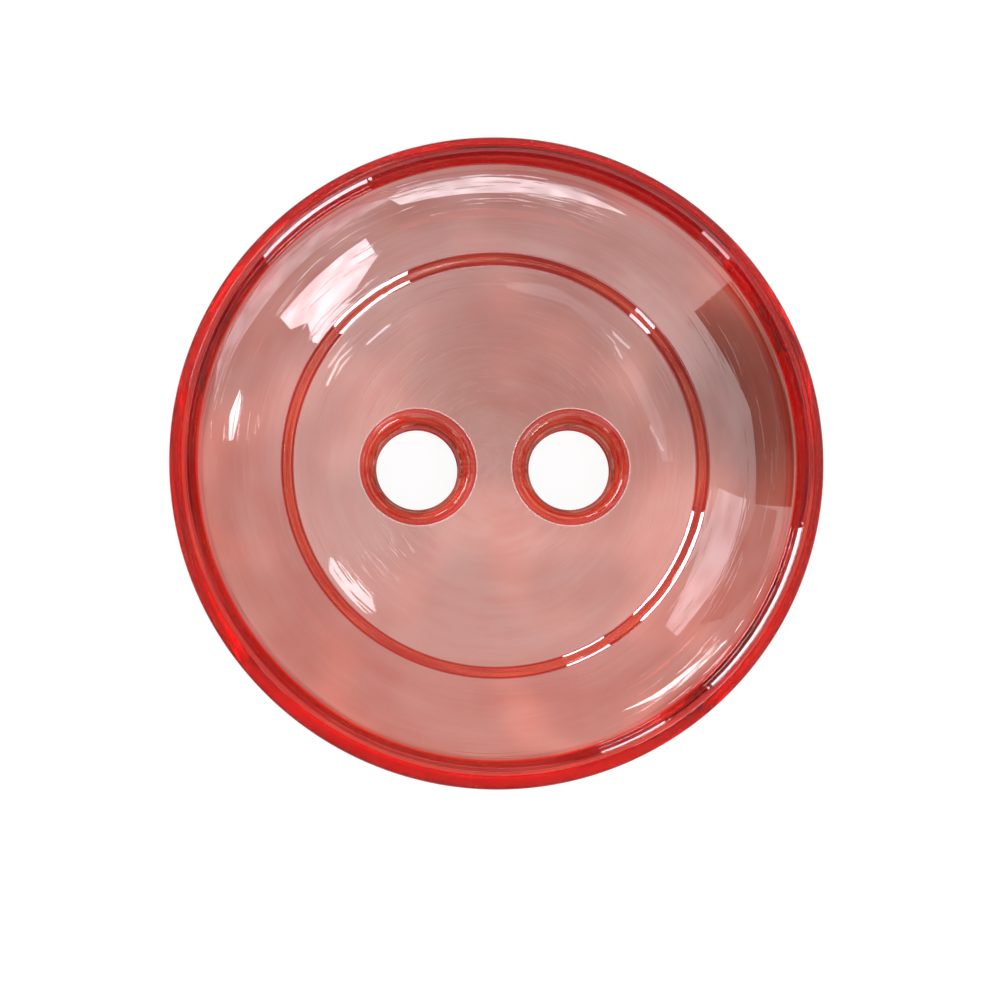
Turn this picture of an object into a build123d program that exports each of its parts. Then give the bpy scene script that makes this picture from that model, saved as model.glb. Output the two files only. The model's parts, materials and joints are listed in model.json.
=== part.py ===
from build123d import *
import os

# Two-hole sew-through button, moulded in one piece. Sizes are in millimetres.
# The button's axis is Z, its back rests on Z = 0 and the two holes lie on the X axis.
# A run is measured along the radius and a drop or a depth along the axis.

# Rim
outside_diameter = 12.5       # widest circle
total_height = 2.8            # from the back to the crest of the rim
side_height = 0.30            # upright band round the widest circle
upper_bevel_run = 0.22        # from the upright band in to the crest
upper_bevel_drop = 0.50
lower_bevel_run = 0.10        # from the upright band in to the back's curve
lower_bevel_drop = 1.05
crest_width = 0.10            # narrow flat along the top of the rim
inner_wall_run = 0.17         # from the crest in to the shoulder
inner_wall_drop = 0.42
crest_rounding = 0.05
side_rounding = 0.12
wall_foot_rounding = 0.08
lower_rounding = 0.12

# Dished front: a hollow shoulder, a step down and a shallow well
shoulder_drop = 0.68
shoulder_sag = 0.07           # hollow of the shoulder below a straight slope
step_diameter = 8.24          # upper edge of the step
step_run = 0.24
step_drop = 0.26
step_rounding = 0.04
well_sag = 0.28               # fall of the well from the step to the centre

# Back: a flat land, from which a curve rises to the lower bevel
land_diameter = 6.6

# Sewing holes: a straight throat that widens towards both faces
hole_diameter = 1.58          # of the throat
hole_spacing = 2.95           # between the two axes
mouth_depth = 0.39            # from the middle of the well down to the throat
mouth_taper = 0.40            # widening of the radius for each millimetre above the throat
mouth_rounding = 0.25
sink_run = 0.20               # widening of the radius at the back
sink_depth = 0.45             # from the back up to the throat
throat_rounding = 0.03


def section_corners():
    """Corners of the half section, as (radius, height), before they are rounded."""
    outside = outside_diameter / 2
    bevel_foot = (outside, total_height - upper_bevel_drop)
    side_foot = (outside, bevel_foot[1] - side_height)
    crest_outside = (outside - upper_bevel_run, total_height)
    crest_inside = (crest_outside[0] - crest_width, total_height)
    wall_foot = (crest_inside[0] - inner_wall_run, total_height - inner_wall_drop)
    step_top = (step_diameter / 2, wall_foot[1] - shoulder_drop)
    step_foot = (step_top[0] - step_run, step_top[1] - step_drop)
    return {
        "land_edge": (land_diameter / 2, 0),
        "back_edge": (outside - lower_bevel_run, side_foot[1] - lower_bevel_drop),
        "side_foot": side_foot,
        "bevel_foot": bevel_foot,
        "crest_outside": crest_outside,
        "crest_inside": crest_inside,
        "wall_foot": wall_foot,
        "step_top": step_top,
        "step_foot": step_foot,
        "well_centre": (0, step_foot[1] - well_sag),
    }


def half_section():
    """Half section with its corners rounded, radius along X and height along Y."""
    at = section_corners()
    rim = ["back_edge", "side_foot", "bevel_foot", "crest_outside", "crest_inside", "wall_foot"]
    outline = [
        Line((0, 0), at["land_edge"]),
        TangentArc(at["land_edge"], at["back_edge"], tangent=(1, 0)),
        Polyline([at[name] for name in rim]),
        SagittaArc(at["wall_foot"], at["step_top"], shoulder_sag),
        Line(at["step_top"], at["step_foot"]),
        TangentArc(at["well_centre"], at["step_foot"], tangent=(1, 0)),
        Line(at["well_centre"], (0, 0)),
    ]
    roundings = {
        "back_edge": lower_rounding,
        "side_foot": side_rounding,
        "bevel_foot": side_rounding,
        "crest_outside": crest_rounding,
        "crest_inside": crest_rounding,
        "wall_foot": wall_foot_rounding,
        "step_top": step_rounding,
        "step_foot": step_rounding,
    }
    section = make_face(outline)
    for name, radius in roundings.items():
        corner = section.vertices().sort_by_distance(Vector(*at[name]))[0]
        section = fillet(corner, radius)
    return section


def cut_hole(body, place):
    """Cut one sewing hole: the throat right through, and a cone towards each face."""
    radius = hole_diameter / 2
    throat_top = section_corners()["well_centre"][1] - mouth_depth
    rise = total_height - throat_top
    upwards = (Align.CENTER, Align.CENTER, Align.MIN)
    body -= place * Cylinder(radius, total_height, align=upwards)
    body -= place * Cone(radius + sink_run, radius, sink_depth, align=upwards)
    mouth = Cone(radius, radius + rise * mouth_taper, rise, align=upwards)
    return body - place * Pos(0, 0, throat_top) * mouth


def hole_edges(body, place):
    """The closed edges round one hole, from the back to the front."""
    loops = ShapeList()
    for edge in body.edges():
        middle = edge.center(CenterOf.MASS)
        off_axis = Vector(middle.X - place.position.X, middle.Y - place.position.Y).length
        if off_axis < hole_diameter / 4:
            loops.append(edge)
    return loops.sort_by(Axis.Z)


def drill(body, place):
    """Cut one sewing hole and round its edges."""
    body = cut_hole(body, place)
    body = fillet(hole_edges(body, place)[-1], mouth_rounding)
    return fillet(hole_edges(body, place)[:3], throat_rounding)


def make_button():
    """The whole button: a turned body with two sewing holes."""
    body = revolve(Plane.YZ * half_section(), Axis.Z)
    for turn in (0, 180):
        body = drill(body, Rot(0, 0, turn) * Pos(hole_spacing / 2, 0, 0))
    return body


button = make_button()
os.makedirs("parts", exist_ok=True)
export_step(button, "parts/button.step")
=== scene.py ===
import json
import math
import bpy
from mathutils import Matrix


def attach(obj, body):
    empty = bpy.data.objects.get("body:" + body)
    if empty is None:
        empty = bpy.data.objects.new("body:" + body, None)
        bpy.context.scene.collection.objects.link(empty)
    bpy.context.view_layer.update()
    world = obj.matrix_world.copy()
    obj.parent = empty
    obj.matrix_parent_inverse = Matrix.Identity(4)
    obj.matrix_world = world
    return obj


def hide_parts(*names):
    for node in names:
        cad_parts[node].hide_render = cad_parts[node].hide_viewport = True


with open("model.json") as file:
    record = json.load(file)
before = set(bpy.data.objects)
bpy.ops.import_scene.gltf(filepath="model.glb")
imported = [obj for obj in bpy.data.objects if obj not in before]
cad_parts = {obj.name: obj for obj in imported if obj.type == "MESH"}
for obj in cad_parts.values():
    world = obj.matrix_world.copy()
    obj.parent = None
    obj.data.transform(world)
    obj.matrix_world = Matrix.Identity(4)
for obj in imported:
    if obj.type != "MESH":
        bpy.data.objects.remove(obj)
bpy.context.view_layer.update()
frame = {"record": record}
from types import SimpleNamespace

import bmesh
import bpy
import numpy as np
from mathutils import Matrix, Vector
from mathutils.geometry import delaunay_2d_cdt

# Every size below is in millimetres, and MM turns it into metres.
MM = 0.001

# Holes, as the frame has them
mounts = {mount["name"]: mount for mount in frame["record"]["mounts"]}
HOLE_RADIUS = mounts["right_hole"]["dims"]["r_mm"]
HOLE_X = mounts["right_hole"]["pos_m"][0] / MM

# The solid's section: each pair is a run along the radius and a drop along the axis
OUTSIDE_RADIUS = 6.25
HEIGHT = 2.8
UPPER_BEVEL = (0.22, 0.50)
SIDE_HEIGHT = 0.30
LOWER_BEVEL = (0.10, 1.05)
CREST_WIDTH = 0.10
INNER_WALL = (0.17, 0.42)
SHOULDER_DROP = 0.68
SHOULDER_SAG = 0.07
STEP_RADIUS = 4.12
STEP = (0.24, 0.26)
WELL_SAG = 0.28
LAND_RADIUS = 3.3
LOWER_ROUNDING = 0.12
SIDE_ROUNDING = 0.12
CREST_ROUNDING = 0.05
WALL_FOOT_ROUNDING = 0.08
STEP_ROUNDING = 0.04
MOUTH_DEPTH = 0.39         # from the middle of the well down to a hole's throat
MOUTH_TAPER = 0.40         # widening of the radius for each millimetre above the throat
MOUTH_ROUNDING = 0.25
BACK_SINK = (0.20, 0.45)   # run and depth of a hole's countersink at the back
THROAT_ROUNDING = 0.03

# Fineness of the mesh
TURNS = 360                  # corners round the button
HOLE_TURNS = 144             # and round a hole
INNER_RADIUS = 3.0           # inside this circle the well and the back are triangulated round the holes
CELL = 0.09                  # side of those triangles
CLEARANCE = 0.6 * CELL       # least gap between their free corners and a ring
MERGE_DISTANCE = 1e-7
SPACING = 0.09               # longest stretch of the section between two corners
ARC_STEP = math.radians(5)
MOUTH_RINGS = 20
CONE_RINGS = 3
BALL_STEPS = 12              # rounds of reckoning in which the rolling ball's height settles
PARALLEL = 1e-12             # two lines whose directions span less than this are parallel


class Straight:
    """Straight stretch of a section, from start to end."""

    def __init__(self, start, end):
        self.start, self.end = np.array(start, float), np.array(end, float)
        self.length = np.linalg.norm(self.end - self.start)
        self.along = (self.end - self.start) / self.length

    def offsets(self, distance):
        normal = np.array([-self.along[1], self.along[0]])
        return [(self.start + side * distance * normal, self.along) for side in (-1, 1)]

    def foot(self, point):
        return self.start + self.along * np.dot(point - self.start, self.along)

    def share(self, point):
        return np.dot(point - self.start, self.along) / np.linalg.norm(self.end - self.start)

    def points(self):
        count = max(2, math.ceil(np.linalg.norm(self.end - self.start) / SPACING))
        return [self.start + (self.end - self.start) * i / count for i in range(count + 1)]


class Bend:
    """Circular stretch of a section about a centre, the short way from start to end."""

    def __init__(self, centre, start, end):
        self.centre = np.array(centre, float)
        self.start, self.end = np.array(start, float), np.array(end, float)
        self.radius = np.linalg.norm(self.start - self.centre)

    def offsets(self, distance):
        return [(self.centre, self.radius + side * distance) for side in (-1, 1)]

    def foot(self, point):
        spoke = point - self.centre
        return self.centre + spoke / np.linalg.norm(spoke) * self.radius

    def turn_to(self, point):
        first, last = self.start - self.centre, point - self.centre
        cross = first[0] * last[1] - first[1] * last[0]
        return math.atan2(cross, np.dot(first, last))

    def share(self, point):
        return self.turn_to(point) / self.turn_to(self.end)

    def points(self):
        turn = self.turn_to(self.end)
        length = self.radius * abs(turn)
        count = max(2, math.ceil(length / SPACING), math.ceil(abs(turn) / ARC_STEP))
        first = self.start - self.centre
        made = []
        for i in range(count + 1):
            c, s = math.cos(turn * i / count), math.sin(turn * i / count)
            spoke = np.array([c * first[0] - s * first[1], s * first[0] + c * first[1]])
            made.append(self.centre + spoke)
        return made


def crossings(one, two):
    """Points where two offset lines or circles meet. A line's second entry is its direction."""
    if np.ndim(two[1]) and not np.ndim(one[1]):
        one, two = two, one
    (p, along), (q, other) = one, two
    if not np.ndim(along):
        return []
    if np.ndim(other):
        across = np.array([along, -other]).T
        if abs(np.linalg.det(across)) < PARALLEL:
            return []
        return [p + along * np.linalg.solve(across, q - p)[0]]
    middle = -np.dot(p - q, along)
    gap = middle ** 2 - np.dot(p - q, p - q) + other ** 2
    if gap < 0:
        return []
    return [p + along * (middle + side * math.sqrt(gap)) for side in (-1, 1)]


def round_between(before, after, radius):
    """Shortens two stretches that meet and returns the rounding that joins them."""
    found = []
    for one in before.offsets(radius):
        for two in after.offsets(radius):
            for centre in crossings(one, two):
                start, end = before.foot(centre), after.foot(centre)
                if 0 <= before.share(start) <= 1 and 0 <= after.share(end) <= 1:
                    found.append((np.linalg.norm(centre - before.end), centre, start, end))
    _, centre, start, end = min(found, key=lambda entry: entry[0])
    before.end, after.start = start, end
    return Bend(centre, start, end)


def joined(stretches, roundings):
    """The stretches with a rounding between each two; a rounding of None is a smooth joint."""
    chain = [stretches[0]]
    for stretch, radius in zip(stretches[1:], roundings):
        if radius is not None:
            chain.append(round_between(chain[-1], stretch, radius))
        chain.append(stretch)
    return chain


def level_bend(level, end):
    """Bend that leaves the point level horizontally and rises to end."""
    run, rise = end[0] - level[0], end[1] - level[1]
    radius = (run ** 2 + rise ** 2) / (2 * rise)
    return Bend((level[0], level[1] + radius), level, end)


def sagging_bend(start, end, sag):
    """Bend whose middle lies sag below the straight line from start to end."""
    start, end = np.array(start), np.array(end)
    half = np.linalg.norm(end - start) / 2
    radius = (half ** 2 + sag ** 2) / (2 * sag)
    up = np.array([end[1] - start[1], start[0] - end[0]]) / (2 * half)
    up *= math.copysign(1, up[1])
    return Bend((start + end) / 2 + up * (radius - sag), start, end)


def step_down(point, run_and_drop):
    """The point that lies one run further in and one drop lower."""
    return (point[0] - run_and_drop[0], point[1] - run_and_drop[1])


def body_section():
    """Stretches of the half section, from the land round the rim to the well's middle; then the
    shoulder and the well, which are two of them."""
    bevel_foot = (OUTSIDE_RADIUS, HEIGHT - UPPER_BEVEL[1])
    side_foot = (OUTSIDE_RADIUS, bevel_foot[1] - SIDE_HEIGHT)
    back_edge = step_down(side_foot, LOWER_BEVEL)
    land_edge = (LAND_RADIUS, 0.0)
    crest_outside = (OUTSIDE_RADIUS - UPPER_BEVEL[0], HEIGHT)
    crest_inside = step_down(crest_outside, (CREST_WIDTH, 0))
    wall_foot = step_down(crest_inside, INNER_WALL)
    step_top = (STEP_RADIUS, wall_foot[1] - SHOULDER_DROP)
    step_foot = step_down(step_top, STEP)
    well_middle = (0.0, step_foot[1] - WELL_SAG)
    rising = level_bend(well_middle, step_foot)
    well = Bend(rising.centre, rising.end, rising.start)
    shoulder = sagging_bend(wall_foot, step_top, SHOULDER_SAG)
    stretches = [
        Straight((INNER_RADIUS, 0.0), land_edge),
        level_bend(land_edge, back_edge),
        Straight(back_edge, side_foot),
        Straight(side_foot, bevel_foot),
        Straight(bevel_foot, crest_outside),
        Straight(crest_outside, crest_inside),
        Straight(crest_inside, wall_foot),
        shoulder,
        Straight(step_top, step_foot),
        well,
    ]
    roundings = [
        None, LOWER_ROUNDING, SIDE_ROUNDING, SIDE_ROUNDING, CREST_ROUNDING, CREST_ROUNDING,
        WALL_FOOT_ROUNDING, STEP_ROUNDING, STEP_ROUNDING,
    ]
    return joined(stretches, roundings), shoulder, well


def outline_points(chain):
    """Points along a chain of stretches, each corner once."""
    made = [chain[0].start]
    for stretch in chain:
        made.extend(stretch.points()[1:])
    return made


class Shell:
    """Corners and faces of one closed surface."""

    def __init__(self):
        self.corners, self.faces = [], []

    def ring(self, points):
        first = len(self.corners)
        self.corners.extend(tuple(point) for point in points)
        return range(first, len(self.corners))

    def skin(self, one, two):
        for i in range(len(one)):
            j = (i + 1) % len(one)
            self.faces.append((one[i], one[j], two[j], two[i]))

    def skins(self, rings):
        for one, two in zip(rings, rings[1:]):
            self.skin(one, two)


def circle(count):
    return [2 * math.pi * i / count for i in range(count)]


def turned_ring(radius, height, centre_x, count):
    return [
        (centre_x + radius * math.cos(turn), radius * math.sin(turn), height)
        for turn in circle(count)
    ]


def mouth_rings(centre_x, well):
    """Rings of a hole's front rounding: a ball rolled between the well and the mouth's cone."""
    ball, lean = MOUTH_ROUNDING, math.atan(MOUTH_TAPER)
    height = well.centre[1] - well.radius
    throat_top = height - MOUTH_DEPTH
    rings = [[] for _ in range(MOUTH_RINGS + 1)]
    top = np.array([0.0, 0.0, well.centre[1]])
    up = np.array([0.0, 0.0, 1.0])
    for turn in circle(HOLE_TURNS):
        out = np.array([math.cos(turn), math.sin(turn), 0.0])
        for _ in range(BALL_STEPS):
            away = HOLE_RADIUS + (height - throat_top) * MOUTH_TAPER + ball / math.cos(lean)
            centre = np.array([centre_x, 0.0, 0.0]) + out * away
            reach = math.hypot(centre[0], centre[1])
            height = top[2] - math.sqrt((well.radius + ball) ** 2 - reach ** 2)
        centre[2] = height
        to_floor = (top - centre) / np.linalg.norm(top - centre)
        to_cone = math.sin(lean) * up - math.cos(lean) * out
        angle = math.acos(np.dot(to_floor, to_cone))
        for k, ring in enumerate(rings):
            share = k / MOUTH_RINGS
            spoke = math.sin((1 - share) * angle) * to_floor + math.sin(share * angle) * to_cone
            ring.append(centre + ball * spoke / math.sin(angle))
    return rings


def wall_rings(centre_x, well):
    """Rings of a hole's wall: the cone's foot, the throat and the countersink at the back."""
    throat_top = (HOLE_RADIUS, well.centre[1] - well.radius - MOUTH_DEPTH)
    lead = 3 * THROAT_ROUNDING
    sink_top = (HOLE_RADIUS, BACK_SINK[1])
    edge = (HOLE_RADIUS + BACK_SINK[0], 0.0)
    stretches = [
        Straight((HOLE_RADIUS + lead * MOUTH_TAPER, throat_top[1] + lead), throat_top),
        Straight(throat_top, sink_top),
        Straight(sink_top, edge),
        Straight(edge, (edge[0] + lead, 0.0)),
    ]
    points = outline_points(joined(stretches, [THROAT_ROUNDING] * 3))
    return [turned_ring(radius, height, centre_x, HOLE_TURNS) for radius, height in points]


def hole_rings(shell, centre_x, well):
    """Adds one hole, from the floor of the well down to the back, and returns its rings."""
    mouth, wall = mouth_rings(centre_x, well), wall_rings(centre_x, well)
    cone = []
    for k in range(1, CONE_RINGS):
        share = k / CONE_RINGS
        cone.append([
            np.array(high) * (1 - share) + np.array(low) * share
            for high, low in zip(mouth[-1], wall[0])
        ])
    rings = [shell.ring(points) for points in mouth + cone + wall]
    shell.skins(rings)
    return rings


def free_of(point, loops):
    """True if a point lies inside the outer circle, outside each loop and clear of both."""
    if np.linalg.norm(point) > INNER_RADIUS - CLEARANCE:
        return False
    for loop in loops:
        middle = loop.mean(axis=0)
        if np.linalg.norm(point - middle) < np.linalg.norm(loop - middle, axis=1).max():
            return False
        if np.linalg.norm(loop - point, axis=1).min() < CLEARANCE:
            return False
    return True


def cover(shell, outer, holes, height_at, downward):
    """Triangles from the outer ring in to the two holes, on the surface height_at gives."""
    rings = [outer] + holes
    fixed = [corner for ring in rings for corner in ring]
    edges, first = [], 0
    for ring in rings:
        edges += [(first + i, first + (i + 1) % len(ring)) for i in range(len(ring))]
        first += len(ring)
    points = [Vector(shell.corners[corner][:2]) for corner in fixed]
    loops = [np.array([shell.corners[corner][:2] for corner in ring]) for ring in holes]
    row = CELL * math.sqrt(3) / 2
    reach = math.ceil(INNER_RADIUS / row) + 1
    for j in range(-reach, reach + 1):
        for i in range(-reach, reach + 1):
            point = np.array([(i + 0.5 * (j % 2)) * CELL, j * row])
            if free_of(point, loops):
                points.append(Vector(point))
    places, _, triangles, sources, _, _ = delaunay_2d_cdt(points, edges, [], 0, MERGE_DISTANCE)
    corner_of = {}
    for k, source in enumerate(sources):
        if source and source[0] < len(fixed):
            corner_of[k] = fixed[source[0]]
        else:
            x, y = places[k]
            corner_of[k] = shell.ring([(x, y, height_at(math.hypot(x, y)))])[0]
    owner = {corner: number for number, ring in enumerate(rings) for corner in ring}
    for triangle in triangles:
        face = tuple(corner_of[k] for k in triangle)
        owners = {owner.get(corner) for corner in face}
        if owners not in ({1}, {2}):
            shell.faces.append(face[::-1] if downward else face)


def build_button():
    """The whole button as one closed smooth mesh."""
    chain, _, well = body_section()

    def floor_height(radius):
        return well.centre[1] - math.sqrt(well.radius ** 2 - radius ** 2)

    well.end = np.array([INNER_RADIUS, floor_height(INNER_RADIUS)])
    shell = Shell()
    rings = [
        shell.ring(turned_ring(radius, height, 0.0, TURNS))
        for radius, height in outline_points(chain)
    ]
    shell.skins(rings)
    holes = [hole_rings(shell, side * HOLE_X, well) for side in (-1, 1)]
    cover(shell, rings[-1], [hole[0] for hole in holes], floor_height, False)
    cover(shell, rings[0], [hole[-1] for hole in holes], lambda radius: 0.0, True)
    mesh = bpy.data.meshes.new("button_body")
    mesh.from_pydata([tuple(c * MM for c in corner) for corner in shell.corners], [], shell.faces)
    work = bmesh.new()
    work.from_mesh(mesh)
    bmesh.ops.recalc_face_normals(work, faces=work.faces)
    work.to_mesh(mesh)
    work.free()
    mesh.polygons.foreach_set("use_smooth", [True] * len(mesh.polygons))
    body = bpy.data.objects.new("button_body", mesh)
    bpy.context.scene.collection.objects.link(body)
    return body


# Look of the plastic. A graded tint is a list of distances from an axis and the colour at each.
ABSORPTION_COLOUR = (0.96, 0.30, 0.14)
ABSORPTION_DENSITY = 1030.0  # for each metre
REFRACTION = 1.50
ROUGHNESS = (0.01, 0.05)     # least and most, with the fine noise
POLISH_REFRACTION = 2.15     # of the polish on the dished front, which sets how strongly it mirrors
POLISH_ROUGHNESS = 0.02
WALL_POLISH = 0.4            # share of the polish on the rim's inner wall
MOUTH_POLISH = 0.10          # and in the holes' mouths
FROSTING = (0.04, 0.06, 0.03, 0.70)    # matt share of the step, the mouths, the rim and the edge line; the edge line's large share makes its pale tint a painted highlight
PLAIN_TINTS = ((1.0, 1.0, 1.0), (0.96, 0.72, 0.66))
# Painted shade: the step's deep reds stand in for the red that light refracted through its steep wall
# shows
STEP_SHADE_TINTS = ((1.0, 0.14, 0.06), (0.65, 0.035, 0.02))
# Painted shade: a darker red line along each edge of the step
STEP_SHADE_LINE_TINT = (0.75, 0.03, 0.02)
# Painted light and shade on the rim, by distance from the axis: dark lines stand in for dark reflections
# and shade, pale lines are painted glints
RIM_SHADE_AND_GLINT_TINTS = (
    (5.66, (1.00, 0.60, 0.55)), (5.69, (1.00, 0.05, 0.04)), (5.77, (1.00, 0.03, 0.02)),
    (5.80, (0.80, 0.005, 0.004)), (5.85, (1.00, 0.04, 0.02)), (5.88, (0.60, 0.003, 0.003)),
    (5.92, (0.50, 0.003, 0.003)), (5.95, (1.00, 0.12, 0.08)), (6.00, (1.00, 0.08, 0.05)),
    (6.03, (0.70, 0.01, 0.008)), (6.06, (1.00, 0.36, 0.20)), (6.17, (1.00, 0.24, 0.12)),
    (6.20, (1.00, 0.70, 0.50)), (6.24, (0.70, 0.09, 0.04)),
)
# The rim's lit copy of those tints, with more and brighter painted glints; a noise along the rim places
# the lit and the shaded copy
LIT_RIM_GLINT_TINTS = (
    (5.66, (1.00, 0.60, 0.55)), (5.70, (1.00, 0.05, 0.03)), (5.76, (1.00, 0.10, 0.06)),
    (5.80, (1.00, 0.45, 0.35)), (5.83, (0.90, 0.04, 0.02)), (5.86, (1.00, 0.35, 0.25)),
    (5.89, (0.85, 0.30, 0.40)), (5.92, (0.70, 0.01, 0.02)), (5.95, (1.00, 0.25, 0.18)),
    (6.01, (1.00, 0.15, 0.09)), (6.03, (0.75, 0.05, 0.02)), (6.09, (1.00, 0.56, 0.36)),
    (6.17, (1.00, 0.40, 0.24)), (6.20, (1.00, 1.00, 0.80)), (6.24, (0.80, 0.18, 0.10)),
)
# Painted light and shade in the mouths: pale lines are painted highlights, the deep reds painted shade
LIT_MOUTH_TINTS = (
    (0.79, (0.90, 0.25, 0.20)), (0.82, (0.80, 0.03, 0.02)), (0.85, (1.00, 0.70, 0.55)),
    (0.88, (0.80, 0.01, 0.005)), (0.91, (1.00, 0.20, 0.12)), (0.96, (1.00, 0.03, 0.01)),
    (0.99, (1.00, 0.50, 0.35)), (1.02, (1.00, 0.02, 0.005)), (1.07, (1.00, 0.08, 0.03)),
    (1.10, (1.00, 0.02, 0.01)), (1.12, (0.85, 0.004, 0.002)), (1.15, (1.00, 0.95, 0.90)),
)
# The mouths' shaded copy, darkest near the throat; a noise round each hole places it
SHADED_MOUTH_TINTS = (
    (0.79, (0.30, 0.01, 0.01)), (0.82, (0.80, 0.10, 0.08)), (0.85, (0.30, 0.004, 0.004)),
    (0.89, (1.00, 0.06, 0.03)), (0.93, (0.70, 0.004, 0.002)), (0.98, (1.00, 0.08, 0.04)),
    (1.03, (0.80, 0.004, 0.002)), (1.08, (1.00, 0.03, 0.01)), (1.12, (0.60, 0.002, 0.001)),
    (1.15, (1.00, 0.80, 0.70)),
)

# Where the looks lie
FRONT_START = (0.70, 0.84)   # heights between which the looks of the front set in
CREST_RADIUS = OUTSIDE_RADIUS - UPPER_BEVEL[0] - CREST_WIDTH    # inner edge of the crest
DISH_RADIUS = CREST_RADIUS - INNER_WALL[0]                      # outer edge of the dish
STEP_FOOT = STEP_RADIUS - STEP[0]                               # inner edge of the step
STEP_SHADE_LINE = 0.045            # width of the painted shade, a deep red line, at each edge of the step
MOUTH_EDGE = 1.15            # distance from a hole's axis at which its mouth meets the well
EDGE_GLINT = 0.025            # width of the painted highlight, a pale line, along that edge
BAND_FADE = 0.012            # softness of a tinted band's edge

# Noise drawn out along circles: pitch for each millimetre across, arcs round the circle, seed
FINE_TURNING = (14.0, 2.5, 0.0)
COARSE_TURNING = (4.0, 1.4, 7.0)
RIM_TURNING = (1.5, 2.4, 3.0)
MOUTH_TURNING = (14.0, 6.0, 5.0)
TURNING_DETAIL = (2.0, 0.6)  # detail and roughness
CLOUDING = (0.55, 2.0, 0.5)  # scale for each millimetre, detail and roughness of the clouds in the resin
COARSE_SHARE = 0.35          # share of the coarse turning in the plain tint's noise; clouds are the rest

# Values of a noise between which one look passes into the other
ROUGH_SPREAD = (0.5, 0.8)
PLAIN_SPREAD = (0.40, 0.60)
STREAK_SPREAD = (0.42, 0.58)
MOUTH_SPREAD = (0.44, 0.56)
MARK_SPREAD = (0.56, 0.68)

# Relief that only the shading shows, as depths
TURNING_BUMP = 0.0008        # of the turning marks
WAVE_BUMP = 0.003            # of slow waves
WAVES = (0.7, 0.0, 0.4)      # scale for each millimetre, detail and roughness of the waves
WALL_BEAD = 0.15             # of the rounding that the rim's inner wall shows
STEP_BEAD = 0.014            # and of the rounding at the two edges of the step


class Nodes:
    """Short calls to make and link the nodes of one tree."""

    def __init__(self, tree):
        self.tree = tree

    def make(self, kind, **values):
        node = self.tree.nodes.new(kind)
        for name, value in values.items():
            setattr(node, name, value)
        return node

    def put(self, socket, value):
        if isinstance(value, bpy.types.NodeSocket):
            self.tree.links.new(value, socket)
        else:
            socket.default_value = value

    def maths(self, operation, *values):
        node = self.make("ShaderNodeMath", operation=operation)
        for socket, value in zip(node.inputs, values):
            self.put(socket, value)
        return node.outputs[0]

    def clamp(self, value, low, high):
        return self.maths("MINIMUM", self.maths("MAXIMUM", value, low), high)

    def length(self, x, y):
        squares = [self.maths("MULTIPLY", value, value) for value in (x, y)]
        return self.maths("SQRT", self.maths("ADD", *squares))

    def mix(self, share, first, second):
        node = self.make("ShaderNodeMix", data_type="RGBA")
        for name, value in (("Factor_Float", share), ("A_Color", first), ("B_Color", second)):
            socket = next(s for s in node.inputs if s.identifier == name)
            if isinstance(value, tuple):
                value = (*value, 1.0)
            self.put(socket, value)
        return next(s for s in node.outputs if s.identifier == "Result_Color")

    def ramp(self, value, low, high, to_low=0.0, to_high=1.0):
        node = self.make("ShaderNodeMapRange", interpolation_type="SMOOTHSTEP")
        for socket, entry in zip(node.inputs, (value, low, high, to_low, to_high)):
            self.put(socket, entry)
        return node.outputs[0]

    def graded(self, value, stops):
        """Colour that runs through the stops, each a place and the colour there."""
        low, high = stops[0][0], stops[-1][0]
        node = self.make("ShaderNodeValToRGB")
        slope = 1 / (high - low)
        self.put(node.inputs[0], self.maths("MULTIPLY_ADD", value, slope, -low * slope))
        marks = node.color_ramp.elements
        while len(marks) < len(stops):
            marks.new(0.5)
        for mark, (at, colour) in zip(marks, stops):
            mark.position = (at - low) * slope
            mark.color = (*colour, 1.0)
        return node.outputs[0]

    def vector(self, x, y, z):
        node = self.make("ShaderNodeCombineXYZ")
        for socket, value in zip(node.inputs, (x, y, z)):
            self.put(socket, value)
        return node.outputs[0]

    def noise(self, where, scale, detail=2.0, roughness=0.5):
        node = self.make("ShaderNodeTexNoise")
        self.put(node.inputs["Vector"], where)
        self.put(node.inputs["Scale"], scale)
        self.put(node.inputs["Detail"], detail)
        self.put(node.inputs["Roughness"], roughness)
        return node.outputs["Fac"]


def band(nodes, distance, inner, outer):
    """1 where a distance lies between inner and outer, with soft edges."""
    rise = nodes.ramp(distance, inner - BAND_FADE, inner + BAND_FADE)
    fall = nodes.ramp(distance, outer - BAND_FADE, outer + BAND_FADE, 1.0, 0.0)
    return nodes.maths("MULTIPLY", rise, fall)


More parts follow.
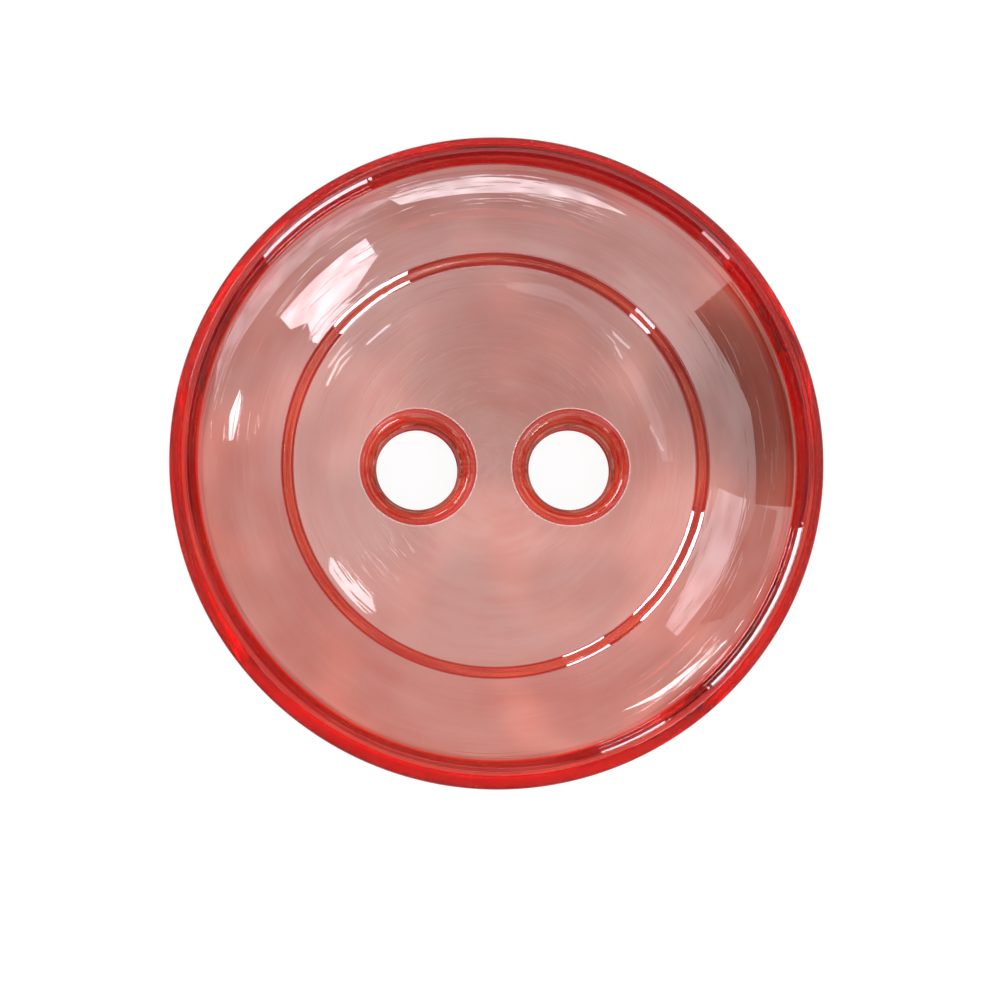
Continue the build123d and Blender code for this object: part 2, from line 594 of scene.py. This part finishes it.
def body_zones(nodes, place):
    """Distances, masks and noises that the colour, the finish and the relief share."""
    at = SimpleNamespace()
    split = nodes.make("ShaderNodeSeparateXYZ")
    nodes.put(split.inputs[0], place)
    x, y, z = [nodes.maths("MULTIPLY", socket, 1 / MM) for socket in split.outputs]
    at.front = nodes.ramp(z, *FRONT_START)
    at.radius = nodes.length(x, y)
    at.hole_distance = nodes.length(nodes.maths("SUBTRACT", nodes.maths("ABSOLUTE", x), HOLE_X), y)
    turn_x, turn_y = nodes.maths("DIVIDE", x, at.radius), nodes.maths("DIVIDE", y, at.radius)

    def turning(distance, pitch, arcs, seed):
        where = nodes.vector(
            nodes.maths("MULTIPLY", distance, pitch),
            nodes.maths("MULTIPLY_ADD", turn_x, arcs, seed),
            nodes.maths("MULTIPLY", turn_y, arcs),
        )
        return nodes.noise(where, 1.0, *TURNING_DETAIL)

    at.fine = turning(at.radius, *FINE_TURNING)
    at.coarse = turning(at.radius, *COARSE_TURNING)
    at.rim_arcs = turning(at.radius, *RIM_TURNING)
    at.mouth_arcs = turning(at.hole_distance, *MOUTH_TURNING)
    at.clouds = nodes.noise(nodes.vector(x, y, z), *CLOUDING)
    at.dish = nodes.ramp(at.radius, DISH_RADIUS - 5 * BAND_FADE, DISH_RADIUS - 3 * BAND_FADE, 1.0, 0.0)
    at.rim = nodes.maths("SUBTRACT", 1.0, at.dish)
    at.wall = band(nodes, at.radius, DISH_RADIUS + 3 * BAND_FADE, CREST_RADIUS)
    at.step = band(nodes, at.radius, STEP_FOOT, STEP_RADIUS)
    at.step_lines = nodes.maths(
        "MAXIMUM",
        band(nodes, at.radius, STEP_RADIUS - STEP_SHADE_LINE, STEP_RADIUS + BAND_FADE),
        band(nodes, at.radius, STEP_FOOT - BAND_FADE, STEP_FOOT + STEP_SHADE_LINE),
    )
    at.mouth = band(nodes, at.hole_distance, 0.0, MOUTH_EDGE)
    at.edge_line = band(nodes, at.hole_distance, MOUTH_EDGE - EDGE_GLINT, MOUTH_EDGE)
    return at


def body_colour(nodes, at):
    """Tint of the surface: faint clouds in the resin, and on the step, the rim and in the mouths deeper
    reds with painted light and shade: painted glints, painted dark lines, and lit and shaded copies.
    """
    clouds = nodes.maths("MULTIPLY", at.clouds, 1 - COARSE_SHARE)
    plain = nodes.maths("MULTIPLY_ADD", at.coarse, COARSE_SHARE, clouds)
    rim_light_and_shade = [nodes.graded(at.radius, stops) for stops in (RIM_SHADE_AND_GLINT_TINTS, LIT_RIM_GLINT_TINTS)]
    mouth_light_and_shade = [nodes.graded(at.hole_distance, stops) for stops in (LIT_MOUTH_TINTS, SHADED_MOUTH_TINTS)]
    tints = (
        (at.step, nodes.mix(nodes.ramp(at.coarse, *STREAK_SPREAD), *STEP_SHADE_TINTS)),
        (at.step_lines, STEP_SHADE_LINE_TINT),
        (at.rim, nodes.mix(nodes.ramp(at.rim_arcs, *STREAK_SPREAD), *rim_light_and_shade)),
        (at.mouth, nodes.mix(nodes.ramp(at.mouth_arcs, *MOUTH_SPREAD), *mouth_light_and_shade)),
    )
    colour = nodes.mix(nodes.ramp(plain, *PLAIN_SPREAD), *PLAIN_TINTS)
    for share, tint in tints:
        colour = nodes.mix(nodes.maths("MULTIPLY", share, at.front), colour, tint)
    return colour


def body_clearness(nodes, at):
    """Share of the surface that is clear; the rest is frosted, most on the pale line round each mouth,
    which shows as a painted highlight.
    """
    frost = 0.0
    for share, frosting in zip((at.step, at.mouth, at.rim, at.edge_line), FROSTING):
        frost = nodes.maths("MULTIPLY_ADD", share, frosting, frost)
    return nodes.maths("SUBTRACT", 1.0, nodes.maths("MULTIPLY", frost, at.front))


def body_polish(nodes, at):
    """Share of the polish: whole on the dish, less on the rim's inner wall and in the mouths."""
    polish = nodes.maths("MULTIPLY_ADD", at.wall, WALL_POLISH, at.dish)
    in_mouth = nodes.maths("MULTIPLY_ADD", at.mouth, MOUTH_POLISH - 1, 1.0)
    return nodes.maths("MULTIPLY", nodes.maths("MULTIPLY", polish, in_mouth), at.front)


def body_normal(nodes, place, at):
    """Normal bent by waves and turning marks, and rounded off on the rim's inner wall and the step."""
    run, width = INNER_WALL[0], STEP[0]
    up_wall = nodes.maths("MULTIPLY_ADD", at.radius, 1 / run, -DISH_RADIUS / run)
    across_step = nodes.maths("MULTIPLY_ADD", at.radius, 2 / width, 1 - 2 * STEP_RADIUS / width)
    wave_scale, *wave_detail = WAVES
    reliefs = (
        (nodes.noise(place, wave_scale / MM, *wave_detail), WAVE_BUMP),
        (nodes.maths("MULTIPLY", nodes.ramp(at.fine, *MARK_SPREAD), at.dish), TURNING_BUMP),
        (nodes.maths("POWER", nodes.clamp(up_wall, 0.0, 1.0), 2.0), -WALL_BEAD),
        (nodes.maths("POWER", nodes.clamp(across_step, -1.0, 1.0), 3.0), -STEP_BEAD),
    )
    height = 0.0
    for relief, depth in reliefs:
        height = nodes.maths("MULTIPLY_ADD", relief, depth, height)
    bump = nodes.make("ShaderNodeBump")
    bump.inputs["Distance"].default_value = MM
    nodes.put(bump.inputs["Height"], nodes.maths("MULTIPLY", height, at.front))
    return bump.outputs[0]


def make_plastic():
    """Clear red resin with turning marks, and painted light and shade on the step, on the rim and round
    the holes: deeper reds, dark lines and pale glints.
    """
    material = bpy.data.materials.new("clear_red_plastic")
    material.use_nodes = True
    nodes = Nodes(material.node_tree)
    shader = material.node_tree.nodes["Principled BSDF"]
    output = material.node_tree.nodes["Material Output"]
    place = nodes.make("ShaderNodeTexCoord").outputs["Object"]
    at = body_zones(nodes, place)
    normal = body_normal(nodes, place, at)
    sockets = {
        "Base Color": body_colour(nodes, at),
        "Transmission Weight": body_clearness(nodes, at),
        "Roughness": nodes.ramp(at.fine, *ROUGH_SPREAD, *ROUGHNESS),
        "IOR": REFRACTION,
        "Normal": normal,
        "Coat Weight": body_polish(nodes, at),
        "Coat IOR": POLISH_REFRACTION,
        "Coat Roughness": POLISH_ROUGHNESS,
        "Coat Normal": normal,
    }
    for name, value in sockets.items():
        nodes.put(shader.inputs[name], value)
    absorption = nodes.make("ShaderNodeVolumeAbsorption")
    absorption.inputs["Color"].default_value = (*ABSORPTION_COLOUR, 1.0)
    absorption.inputs["Density"].default_value = ABSORPTION_DENSITY
    nodes.put(output.inputs["Volume"], absorption.outputs[0])
    return material


button = build_button()
button.data.materials.append(make_plastic())
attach(button, "root")
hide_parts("button")


# Floor: pale, with the button's shade on it, partly real and partly painted as a weaker glow under the
# button, and white to the camera
FLOOR_COLOUR = (0.12, 0.12, 0.12, 1.0)
FLOOR_SIZE = 3000.0
FLOOR_GAP = 0.03             # below the back
CAMERA_GLOW = 0.92
THROUGH_GLOW = (0.47, 0.90)  # for rays that come through the plastic, under the button and beyond it; the weaker glow under it is painted shade
BEYOND = (OUTSIDE_RADIUS, 1.5 * OUTSIDE_RADIUS)    # distances between which one passes into the other
GLOW_LEAN = -0.024           # change of that glow for each millimetre towards +Y
LEAN_REACH = 6.0             # distance to either side within which it changes
GLOW_PATCHES = 0.45          # how much stronger the glow is in soft patches
PATCHES = (0.4, 1.0, 0.5)    # scale for each millimetre, detail and roughness of the patches
PATCH_SPREAD = (0.45, 0.70)  # values of that noise between which a patch sets in
SHADE_PLACE = (5.3, 1.5)     # middle of a soft shade in that glow
SHADE_REACH = (0.8, 2.6)     # the shade is full inside the first distance and gone at the second
SHADE = 0.50                 # share of the glow that the shade takes away


def through_glow(nodes, place):
    """Glow of the floor for the rays that come through the plastic."""
    length = nodes.make("ShaderNodeVectorMath", operation="LENGTH")
    split = nodes.make("ShaderNodeSeparateXYZ")
    away = nodes.make("ShaderNodeVectorMath", operation="DISTANCE")
    for node in (length, split, away):
        nodes.put(node.inputs[0], place)
    away.inputs[1].default_value = (SHADE_PLACE[0] * MM, SHADE_PLACE[1] * MM, 0.0)
    beyond = nodes.ramp(length.outputs["Value"], *(distance * MM for distance in BEYOND))
    lean = nodes.clamp(split.outputs["Y"], -LEAN_REACH * MM, LEAN_REACH * MM)
    under = nodes.maths("MULTIPLY_ADD", lean, GLOW_LEAN / MM, THROUGH_GLOW[0])
    rise = nodes.maths("MULTIPLY", nodes.maths("SUBTRACT", THROUGH_GLOW[1], under), beyond)
    patch_scale, *patch_detail = PATCHES
    noise = nodes.noise(place, patch_scale / MM, *patch_detail)
    patches = nodes.ramp(noise, *PATCH_SPREAD, 1.0, 1.0 + GLOW_PATCHES)
    shade_reach = (distance * MM for distance in SHADE_REACH)
    shade = nodes.ramp(away.outputs["Value"], *shade_reach, 1.0 - SHADE, 1.0)
    glow = nodes.maths("MULTIPLY", nodes.maths("ADD", under, rise), patches)
    return nodes.maths("MULTIPLY", glow, shade)


def make_floor():
    """A wide pale floor just under the button."""
    bpy.ops.mesh.primitive_plane_add(size=FLOOR_SIZE * MM, location=(0, 0, -FLOOR_GAP * MM))
    floor = bpy.context.object
    floor.name = "floor"
    material = bpy.data.materials.new("pale_floor")
    material.use_nodes = True
    nodes = Nodes(material.node_tree)
    material.node_tree.nodes.remove(material.node_tree.nodes["Principled BSDF"])
    matt = nodes.make("ShaderNodeBsdfDiffuse")
    matt.inputs["Color"].default_value = FLOOR_COLOUR
    place = nodes.make("ShaderNodeTexCoord").outputs["Object"]
    path = nodes.make("ShaderNodeLightPath")
    strength = nodes.maths("MULTIPLY", path.outputs["Is Transmission Ray"], through_glow(nodes, place))
    strength = nodes.maths("MULTIPLY_ADD", path.outputs["Is Camera Ray"], CAMERA_GLOW, strength)
    glow = nodes.make("ShaderNodeEmission")
    nodes.put(glow.inputs["Strength"], strength)
    both = nodes.make("ShaderNodeAddShader")
    nodes.put(both.inputs[0], matt.outputs[0])
    nodes.put(both.inputs[1], glow.outputs[0])
    nodes.put(material.node_tree.nodes["Material Output"].inputs["Surface"], both.outputs[0])
    floor.data.materials.append(material)
    return floor


make_floor()

# World: brightness by the sine of the height above the horizon
SKY = (
    (0.0, 0.06), (0.38, 0.06), (0.46, 0.66), (0.80, 0.72), (0.94, 1.12), (0.98, 1.00), (1.0, 0.55),
)
SKY_CLOUDS = 0.22            # how far the brightness wanders to either side
SKY_NOISE = (3.0, 3.0)       # scale and detail of that wandering
SKY_SPREAD = (0.35, 0.65)    # values of the noise between which it goes from the least to the most
SKY_LEAN = (-0.08, -0.30)    # change of the brightness towards +X and +Y
THROUGH_SKY = 0.70           # least brightness for rays that come through the plastic


def make_world():
    """White backdrop for the camera; for the light, a bright sky that is dim near the horizon."""
    world = bpy.data.worlds.new("studio")
    world.use_nodes = True
    nodes = Nodes(world.node_tree)
    direction = nodes.make("ShaderNodeTexCoord").outputs["Generated"]
    split = nodes.make("ShaderNodeSeparateXYZ")
    nodes.put(split.inputs[0], direction)
    peak = max(level for _, level in SKY)
    levels = nodes.graded(split.outputs["Z"], [(sine, (level / peak,) * 3) for sine, level in SKY])
    noise = nodes.noise(direction, *SKY_NOISE)
    clouds = nodes.ramp(noise, *SKY_SPREAD, 1 - SKY_CLOUDS, 1 + SKY_CLOUDS)
    lean = nodes.maths("MULTIPLY_ADD", split.outputs["X"], SKY_LEAN[0], 1.0)
    lean = nodes.maths("MULTIPLY_ADD", split.outputs["Y"], SKY_LEAN[1], lean)
    lit = nodes.maths("MULTIPLY", nodes.maths("MULTIPLY", levels, peak), clouds)
    lit = nodes.maths("MULTIPLY", lit, lean)
    path = nodes.make("ShaderNodeLightPath")
    through = nodes.maths("MULTIPLY", path.outputs["Is Transmission Ray"], THROUGH_SKY)
    lit = nodes.maths("MAXIMUM", lit, through)
    lit = nodes.maths("MAXIMUM", lit, path.outputs["Is Camera Ray"])
    sky = world.node_tree.nodes["Background"]
    sky.inputs["Color"].default_value = (1.0, 1.0, 1.0, 1.0)
    nodes.put(sky.inputs["Strength"], lit)
    world.cycles.sampling_method = "NONE"
    bpy.context.scene.world = world


make_world()

# Camera: nearly overhead, leaning a little towards the lower left of the picture
PICTURE_SIDE = 1000.0        # pixels
CENTRE_PIXEL = (497.1, 461.8)
PIXELS_PER_MM = 52.35
GIRTH_HEIGHT = HEIGHT - UPPER_BEVEL[1] - SIDE_HEIGHT / 2
CAMERA_DISTANCE = 95.0
CAMERA_TILT = 6.5            # degrees from straight down
CAMERA_AZIMUTH = -29.0
CLIP_START = 1.0
SENSOR = 36.0


def make_camera():
    """Camera whose picture holds the button where the photograph has it."""
    a, t = math.radians(CAMERA_AZIMUTH), math.radians(CAMERA_TILT)
    back = Vector((math.sin(a) * math.sin(t), -math.cos(a) * math.sin(t), math.cos(t)))
    right = (Vector((1, 0, 0)) - back * back.x).normalized()
    up = back.cross(right)
    half = PICTURE_SIDE / 2
    aim = Vector((0, 0, GIRTH_HEIGHT))
    aim += right * (half - CENTRE_PIXEL[0]) / PIXELS_PER_MM
    aim += up * (CENTRE_PIXEL[1] - half) / PIXELS_PER_MM
    data = bpy.data.cameras.new("camera")
    data.sensor_width = SENSOR
    data.lens = SENSOR / 2 * CAMERA_DISTANCE * PIXELS_PER_MM / half
    data.clip_start = CLIP_START * MM
    camera = bpy.data.objects.new("camera", data)
    camera.location = (aim + back * CAMERA_DISTANCE) * MM
    camera.rotation_mode = "QUATERNION"
    camera.rotation_quaternion = Matrix((right, up, back)).transposed().to_quaternion()
    bpy.context.scene.collection.objects.link(camera)
    bpy.context.scene.camera = camera
    return camera


camera = make_camera()

# Light and dark cards of the studio: radiance, then corners. A corner is given as the place on the
# button's front, in degrees from +X and millimetres from the axis, where the camera sees it mirrored.
CARD_DISTANCE = 500.0
CARD_ORDER = 0.98            # each card hangs this much nearer than the one before and covers it
CARD_COLOUR = (0.96, 0.94, 1.0, 1.0)
CARD_FADE = 0.65             # strength of a card where it is dimmest
CARD_NOISE = (25.0, 1.0)     # scale for each metre and detail of the soft clouds on a card
CARD_SPREAD = (0.3, 0.7)     # values of that noise between which it goes from the least to the most
CARDS = {
    "window": (5.6, (
        (120, 4.99), (146, 5.00), (147, 4.70), (143, 4.52), (147.5, 4.14), (137, 4.14),
        (128, 4.33), (119.5, 4.60),
    )),
    "top_light": (4.4, (
        (62, 5.39), (75, 5.48), (95, 5.51), (112, 5.49), (110, 5.29), (95, 5.21), (80, 5.22),
        (70, 5.30),
    )),
    "side_strip": (2.0, (
        (110, 5.46), (120, 5.60), (140, 5.68), (160, 5.66), (169, 5.50), (158, 5.44),
        (140, 5.34), (124, 5.36),
    )),
    "left_spot": (7.0, (
        (164, 5.10), (170, 5.18), (175.5, 5.13), (175, 5.05), (169, 4.99), (165, 5.05),
    )),
    "low_strip": (7.0, (
        (296, 5.33), (306, 5.47), (322, 5.56), (319, 5.46), (312, 5.37), (305, 5.36),
    )),
    "round_light": (5.5, (
        (209, 3.62), (213, 3.80), (222, 3.84), (229, 3.78), (231, 3.62), (227, 3.42), (217, 3.38),
    )),
    "upper_strip": (3.5, ((133, 3.70), (141, 3.76), (150, 3.77), (150, 3.72), (141, 3.70))),
    "middle_strip": (5.0, ((137, 3.60), (146, 3.65), (155, 3.63), (155, 3.59), (146, 3.60))),
    "lower_strip": (4.5, ((140, 3.50), (147, 3.53), (153, 3.51), (147, 3.49))),
    "pale_board": (2.3, (
        (316, 4.49), (316, 4.78), (334, 4.82), (352, 4.85), (354, 4.31), (340, 4.20), (328, 4.31),
    )),
    "pale_arc": (1.3, (
        (88, 3.68), (72, 3.66), (58, 3.60), (45, 3.48), (30, 3.36), (14, 3.34), (2, 3.42),
        (2, 3.22), (14, 3.14), (32, 3.14), (50, 3.26), (66, 3.42), (86, 3.50),
    )),
    "left_streak": (5.0, ((119.5, 3.35), (128, 3.43), (136, 3.44), (136, 3.40), (128, 3.39))),
    "inner_streak": (3.5, ((53, 3.38), (46, 3.37), (40, 3.28), (40, 3.24), (46, 3.32))),
    "outer_streak": (3.0, ((49, 3.51), (41, 3.55), (41, 3.50), (48, 3.46))),
    "low_streak": (3.0, ((15, 3.13), (6, 3.26), (6, 3.22), (14, 3.10))),
    "dark_board": (0.03, (
        (37.5, 4.82), (37.5, 5.72), (15, 5.72), (-9, 5.72), (-9, 5.02), (12, 4.99),
    )),
    "grey_board": (0.4, (
        (321, 4.95), (325, 5.25), (335, 5.50), (350, 5.45), (351, 5.05), (335, 4.90),
    )),
}

# Low cards, which only the steep parts mirror: radiance, then two azimuths and two heights in degrees
LOW_CARDS = {
    "rear_card": (14.0, (126, 160), (4, 24)),
    "side_card": (10.0, (104, 116), (5, 23)),
    "front_card": (12.0, (-60, -34), (5, 23)),
    "left_card": (6.0, (218, 226), (6, 22)),
}


def mirrored(turn, radius, dish, distance):
    """Where the camera's sight goes when it is mirrored on the front, at a distance from there. The
    place on the front has a turn in degrees and a radius, on one of the dish's bends."""
    turn = math.radians(turn)
    bend = next(bend for bend in dish if bend.end[0] <= radius <= bend.start[0])
    height = bend.centre[1] - math.sqrt(bend.radius ** 2 - (radius - bend.centre[0]) ** 2)
    out = Vector((math.cos(turn), math.sin(turn), 0))
    point = out * radius + Vector((0, 0, height))
    spoke = (bend.centre - np.array([radius, height])) / bend.radius
    normal = out * spoke[0] + Vector((0, 0, spoke[1]))
    view = (camera.location / MM - point).normalized()
    return (point + (2 * view.dot(normal) * normal - view) * distance) * MM


def skyward(azimuth, height, distance):
    """Place at an azimuth and a height above the horizon, both in degrees."""
    a, h = math.radians(azimuth), math.radians(height)
    return Vector((math.cos(a) * math.cos(h), math.sin(a) * math.cos(h), math.sin(h))) * distance * MM


def make_card(name, radiance, corners):
    """Flat board, unseen by the camera, that glows softly or is dark."""
    mesh = bpy.data.meshes.new(name)
    mesh.from_pydata(corners, [], [range(len(corners))])
    card = bpy.data.objects.new(name, mesh)
    material = bpy.data.materials.new(name)
    material.use_nodes = True
    nodes = Nodes(material.node_tree)
    material.node_tree.nodes.remove(material.node_tree.nodes["Principled BSDF"])
    glow = nodes.make("ShaderNodeEmission")
    glow.inputs["Color"].default_value = CARD_COLOUR
    place = nodes.make("ShaderNodeTexCoord").outputs["Object"]
    noise = nodes.noise(place, *CARD_NOISE)
    strength = nodes.ramp(noise, *CARD_SPREAD, radiance * CARD_FADE, radiance)
    nodes.put(glow.inputs["Strength"], strength)
    nodes.put(material.node_tree.nodes["Material Output"].inputs["Surface"], glow.outputs[0])
    material.cycles.emission_sampling = "NONE"
    mesh.materials.append(material)
    card.visible_camera = False
    bpy.context.scene.collection.objects.link(card)
    return card


def hang_cards():
    """Hangs every card. The low ones light the plastic's surface and don't shine through it."""
    _, *dish = body_section()
    for number, (name, (radiance, places)) in enumerate(CARDS.items()):
        distance = CARD_DISTANCE * CARD_ORDER ** number
        corners = [mirrored(turn, radius, dish, distance) for turn, radius in places]
        make_card(name, radiance, corners)
    for name, (radiance, (first, last), (low, high)) in LOW_CARDS.items():
        places = ((first, low), (last, low), (last, high), (first, high))
        card = make_card(name, radiance, [skyward(*place, CARD_DISTANCE) for place in places])
        card.visible_transmission = False


hang_cards()

# Light that is caught in the rim bounces many times before it leaves
BOUNCES = 12
NOISE_LIMIT = 0.03
scene = bpy.context.scene
scene.cycles.adaptive_threshold = NOISE_LIMIT
scene.cycles.max_bounces = BOUNCES
scene.cycles.glossy_bounces = BOUNCES
scene.cycles.transmission_bounces = BOUNCES
scene.view_settings.view_transform = "Standard"
